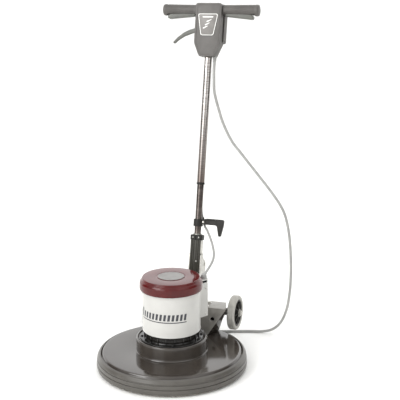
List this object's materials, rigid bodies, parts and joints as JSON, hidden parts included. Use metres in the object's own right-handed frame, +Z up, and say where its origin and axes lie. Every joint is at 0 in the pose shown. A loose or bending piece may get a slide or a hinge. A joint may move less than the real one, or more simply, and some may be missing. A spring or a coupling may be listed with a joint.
{
  "type": "high speed floor burnisher",
  "caption": "Floor burnisher: motor on a round padded deck with bumper, rear wheels, and a tilting tube handle with twin grips, cord hooks and mains cord.",
  "frame": {"origin": "centre of the pad's flat working face, on the floor", "axes": "+Z up; -Y the machine's front; +X to the right as seen from the front; the handle leans back towards +Y"},
  "size_m": [0.6253, 0.818, 1.2695],
  "materials": {
    "charcoal_paint": "gloss charcoal powder coat on cast aluminium",
    "white_paint": "gloss white enamel on sheet steel",
    "maroon_plastic": "gloss maroon moulded cover",
    "grey_plastic": "fine-textured warm grey moulded housing",
    "grey_rubber": "dark grey non-marking rubber",
    "tyre_rubber": "light grey solid tyre",
    "black_plastic": "black moulded nylon",
    "black_steel": "black painted steel",
    "chrome": "bright chrome plate",
    "zinc": "zinc-plated steel",
    "steel": "machined steel",
    "copper_iron": "varnished laminations and copper windings",
    "pad_fibre": "open non-woven fibre",
    "cord_jacket": "pale grey flexible jacket",
    "badge_grey": "satin grey label"
  },
  "bodies": {
    "chassis": {"deck_housing": "charcoal_paint", "motor_turret": "charcoal_paint", "bumper": "grey_rubber", "lower_end_bell": "black_plastic", "motor_shell": "white_paint", "stator": "copper_iron", "upper_end_bell": "steel", "motor_cap": "maroon_plastic", "cap_badge": "badge_grey", "lower_bearing": "steel", "upper_bearing": "steel", "capacitor_cover": "white_paint", "start_capacitor": "black_plastic", "run_capacitor": "black_plastic", "motor_cable_relief": "cord_jacket", "truck_bracket": "charcoal_paint", "pivot_pin": "zinc", "lock_quadrant": "black_steel", "wheel_axle": "steel", "axle_nut_right": "zinc", "axle_nut_left": "zinc", "power_cord": "cord_jacket", "cord_coil": "cord_jacket", "coil_tie": "black_plastic", "plug": "black_plastic"},
    "pad_drive": {"rotor": "steel", "motor_shaft": "steel", "cooling_fan": "black_plastic", "pad_driver": "black_plastic", "burnishing_pad": "pad_fibre", "pad_lock_ring": "black_plastic"},
    "wheel_right": {"tyre_right": "tyre_rubber", "wheel_hub_right": "black_plastic"},
    "wheel_left": {"tyre_left": "tyre_rubber", "wheel_hub_left": "black_plastic"},
    "handle": {"yoke_ear_right": "zinc", "yoke_ear_left": "zinc", "handle_socket": "zinc", "socket_front_cover": "black_steel", "socket_collar": "black_plastic", "collar_ring": "chrome", "lower_tube": "chrome", "tube_ring": "black_plastic", "upper_tube": "chrome", "head_front_cover": "grey_plastic", "head_rear_cover": "grey_plastic", "grip_right": "grey_plastic", "grip_left": "grey_plastic", "badge_plate": "badge_grey", "power_switch": "black_plastic", "upper_cord_hook": "grey_plastic", "power_cord_relief": "black_plastic", "motor_cable": "cord_jacket"},
    "hook_swivel": {"lower_cord_hook": "black_steel"},
    "trigger_right": {"trigger_right": "black_plastic"},
    "trigger_left": {"trigger_left": "black_plastic"},
    "release_lever": {"release_lever": "black_plastic"},
    "lock_rod": {"lock_rod": "steel"},
    "safety_button": {"safety_button": "black_plastic"}
  },
  "joints": [
    {"name": "pad_spin", "type": "hinge", "parent": "chassis", "child": "pad_drive", "pos_m": [0, 0, 0.05], "axis": [0, 0, 1], "continuous": true},
    {"name": "wheel_right_spin", "type": "hinge", "parent": "chassis", "child": "wheel_right", "pos_m": [0.157, 0.261, 0.128], "axis": [1, 0, 0], "continuous": true},
    {"name": "wheel_left_spin", "type": "hinge", "parent": "chassis", "child": "wheel_left", "pos_m": [-0.157, 0.261, 0.128], "axis": [1, 0, 0], "continuous": true},
    {"name": "handle_tilt", "type": "hinge", "parent": "chassis", "child": "handle", "pos_m": [0, 0.246, 0.215], "axis": [-1, 0, 0], "range_deg": [0, 60]},
    {"name": "hook_turn", "type": "hinge", "parent": "handle", "child": "hook_swivel", "pos_m": [0, 0.2961, 0.45993], "axis": [0, 0.2004, 0.9797], "range_deg": [-180, 0]},
    {"name": "trigger_right_squeeze", "type": "hinge", "parent": "handle", "child": "trigger_right", "pos_m": [0.062, 0.45261, 1.22509], "axis": [0, -0.9797, 0.2004], "range_deg": [0, 5], "stiffness_Nm_per_rad": 0.8, "springref_deg": -6.88},
    {"name": "trigger_left_squeeze", "type": "hinge", "parent": "handle", "child": "trigger_left", "pos_m": [-0.062, 0.45261, 1.22509], "axis": [0, 0.9797, -0.2004], "range_deg": [0, 5], "stiffness_Nm_per_rad": 0.8, "springref_deg": -6.88},
    {"name": "release_squeeze", "type": "hinge", "parent": "handle", "child": "release_lever", "pos_m": [0.018, 0.44339, 1.18002], "axis": [0, 0.9797, -0.2004], "range_deg": [0, 14], "stiffness_Nm_per_rad": 1.5, "springref_deg": -11.46},
    {"name": "lock_rod_lift", "type": "slide", "parent": "handle", "child": "lock_rod", "axis": [0, 0.2004, 0.9797], "range_m": [0, 0.0045]},
    {"name": "safety_press", "type": "slide", "parent": "handle", "child": "safety_button", "axis": [0, -0.9797, 0.2004], "range_m": [0, 0.005], "stiffness_N_per_m": 300, "springref_m": -0.003}
  ],
  "couplings": [
    {"joint": "lock_rod_lift", "follows": "release_squeeze", "m_per_rad": 0.018}
  ]
}
